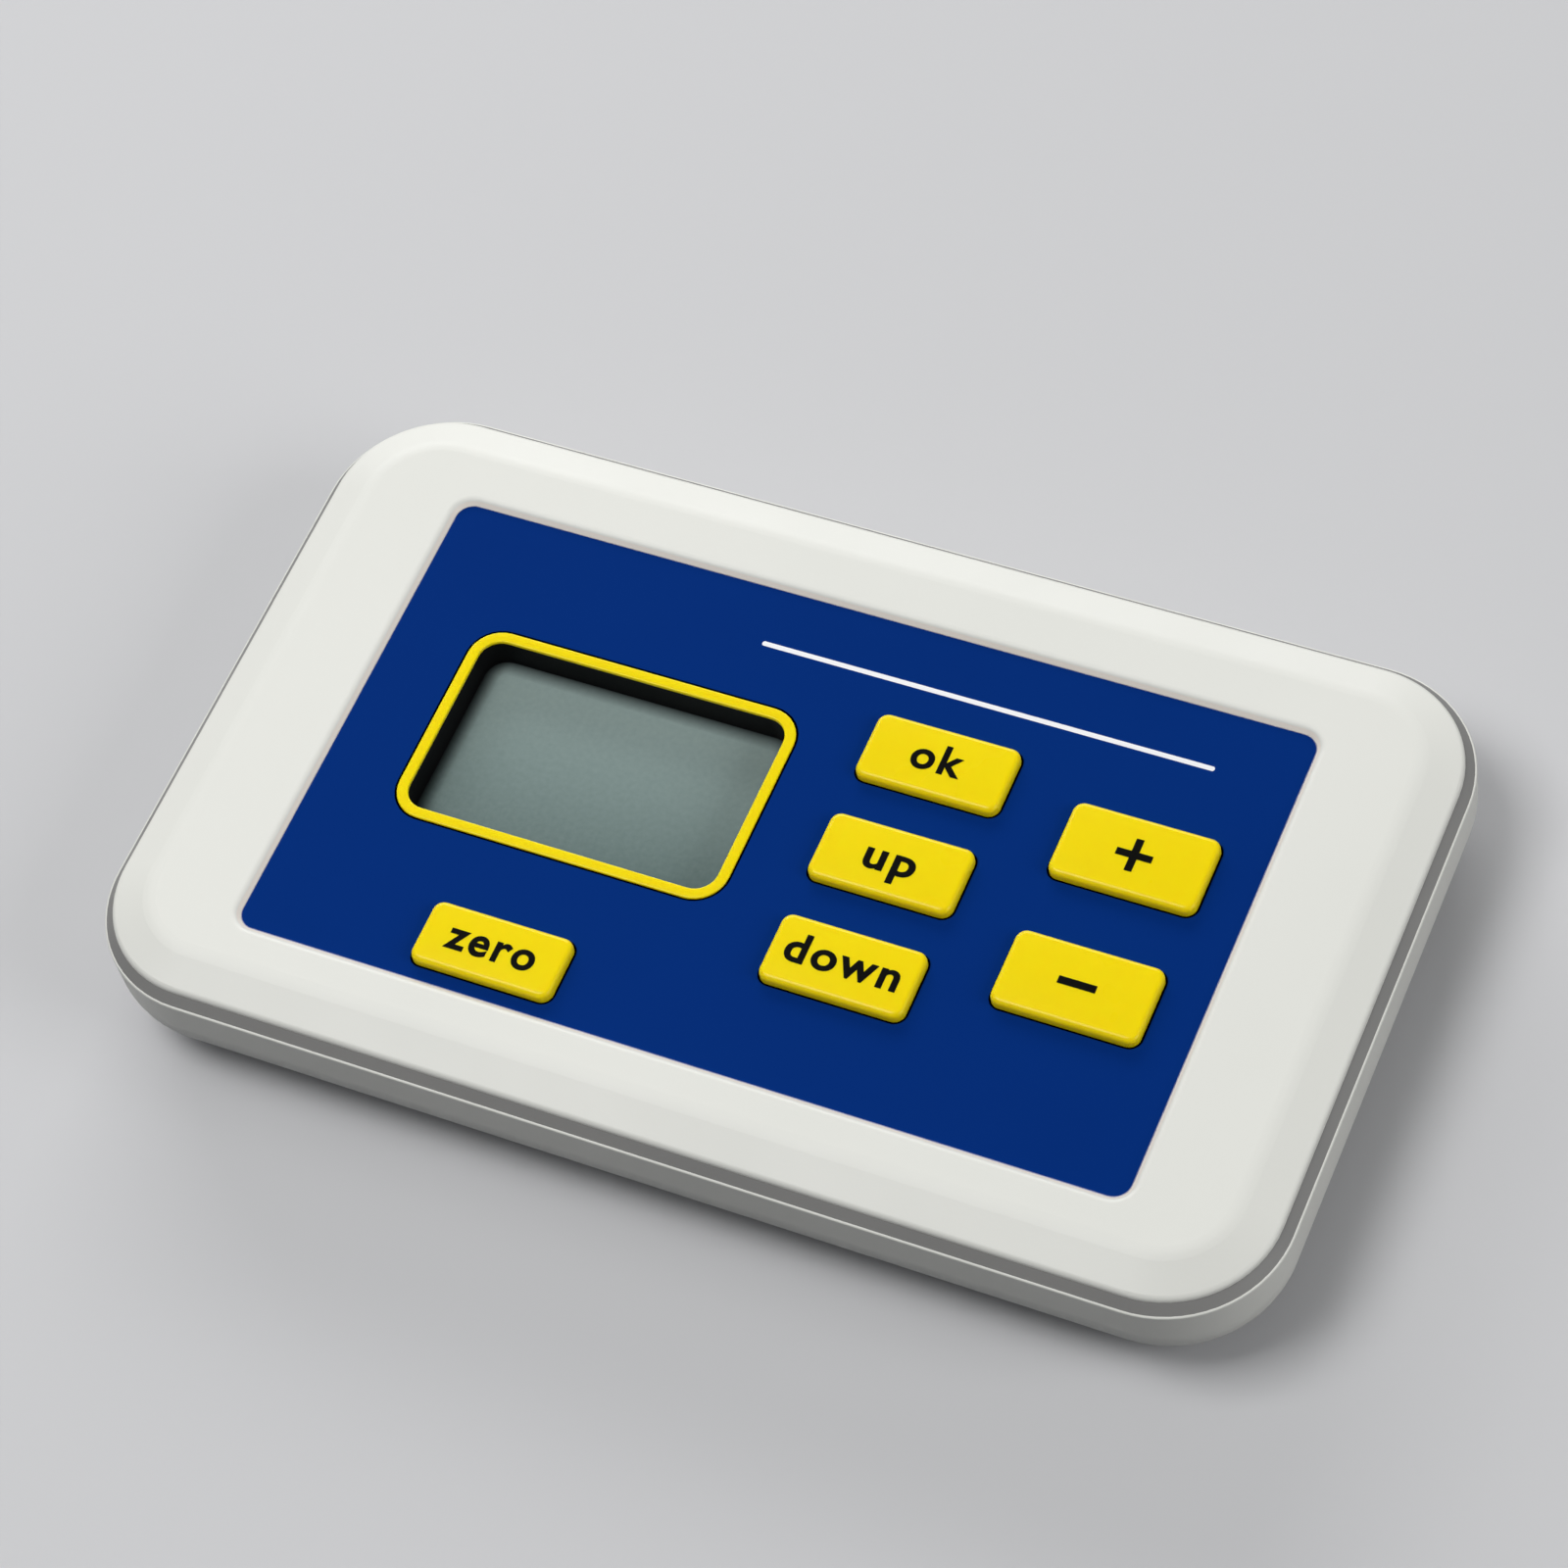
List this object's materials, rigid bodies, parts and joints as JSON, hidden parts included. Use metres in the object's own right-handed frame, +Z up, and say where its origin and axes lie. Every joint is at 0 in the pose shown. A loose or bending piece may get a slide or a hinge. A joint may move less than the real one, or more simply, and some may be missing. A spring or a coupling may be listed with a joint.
{
  "type": "laser power meter",
  "caption": "Low rounded handheld meter case with a sunk panel, framed display window, press keys, back-edge probe socket and sliding battery door.",
  "frame": {"origin": "centre of the case's footprint, on the surface its feet stand on", "axes": "+X along the case to the reader's right, +Y to its back edge, +Z up through the panel and keys"},
  "size_m": [0.151, 0.09, 0.0192],
  "materials": {
    "case_white": "fine satin moulding",
    "seam_grey": "satin",
    "panel_blue": "satin printed film",
    "key_yellow": "satin",
    "display_black": "matt",
    "display_glass": "satin, dark unlit display",
    "backlight_white": "satin",
    "strip_rubber": "matt",
    "board_green": "satin lacquer",
    "chip_black": "matt",
    "crystal_can": "drawn can",
    "switch_black": "matt",
    "socket_black": "satin",
    "cell_jacket": "printed foil jacket",
    "contact_nickel": "nickel plated",
    "foot_rubber": "matt",
    "screw_steel": "zinc plated"
  },
  "bodies": {
    "case": {"lower_case": "case_white", "upper_case": "case_white", "seam_ring": "seam_grey", "panel_overlay": "panel_blue", "display_bezel": "key_yellow", "display_shroud": "display_black", "lcd_glass": "display_glass", "lcd_backlight": "backlight_white", "lcd_contact_strips": "strip_rubber", "main_board": "board_green", "processor_chip": "chip_black", "converter_chip": "chip_black", "amplifier_chip": "chip_black", "clock_crystal": "crystal_can", "probe_socket": "socket_black", "power_switch": "switch_black", "cell_front": "cell_jacket", "cell_rear": "cell_jacket", "contact_minus": "contact_nickel", "contact_plus": "contact_nickel", "contact_bridge": "contact_nickel", "case_screws": "screw_steel", "board_screws": "screw_steel", "switch_ok": "switch_black", "switch_up": "switch_black", "switch_down": "switch_black", "switch_plus": "switch_black", "switch_minus": "switch_black", "switch_zero": "switch_black", "foot_front_left": "foot_rubber", "foot_front_right": "foot_rubber", "foot_rear_left": "foot_rubber", "foot_rear_right": "foot_rubber"},
    "key_ok": {"key_ok": "key_yellow", "plunger_ok": "switch_black"},
    "key_up": {"key_up": "key_yellow", "plunger_up": "switch_black"},
    "key_down": {"key_down": "key_yellow", "plunger_down": "switch_black"},
    "key_plus": {"key_plus": "key_yellow", "plunger_plus": "switch_black"},
    "key_minus": {"key_minus": "key_yellow", "plunger_minus": "switch_black"},
    "key_zero": {"key_zero": "key_yellow", "plunger_zero": "switch_black"},
    "power_slider": {"power_slider": "socket_black"},
    "battery_door": {"battery_door": "case_white"}
  },
  "joints": [
    {"name": "key_ok_press", "type": "slide", "parent": "case", "child": "key_ok", "axis": [0, 0, -1], "range_m": [0, 0.0003], "stiffness_N_per_m": 1500, "springref_m": -0.0002},
    {"name": "key_up_press", "type": "slide", "parent": "case", "child": "key_up", "axis": [0, 0, -1], "range_m": [0, 0.0003], "stiffness_N_per_m": 1500, "springref_m": -0.0002},
    {"name": "key_down_press", "type": "slide", "parent": "case", "child": "key_down", "axis": [0, 0, -1], "range_m": [0, 0.0003], "stiffness_N_per_m": 1500, "springref_m": -0.0002},
    {"name": "key_plus_press", "type": "slide", "parent": "case", "child": "key_plus", "axis": [0, 0, -1], "range_m": [0, 0.0003], "stiffness_N_per_m": 1500, "springref_m": -0.0002},
    {"name": "key_minus_press", "type": "slide", "parent": "case", "child": "key_minus", "axis": [0, 0, -1], "range_m": [0, 0.0003], "stiffness_N_per_m": 1500, "springref_m": -0.0002},
    {"name": "key_zero_press", "type": "slide", "parent": "case", "child": "key_zero", "axis": [0, 0, -1], "range_m": [0, 0.0003], "stiffness_N_per_m": 1500, "springref_m": -0.0002},
    {"name": "power_slide", "type": "slide", "parent": "case", "child": "power_slider", "axis": [1, 0, 0], "range_m": [0, 0.0025]},
    {"name": "battery_door_slide", "type": "slide", "parent": "case", "child": "battery_door", "axis": [0, 1, 0], "range_m": [0, 0.016]}
  ]
}
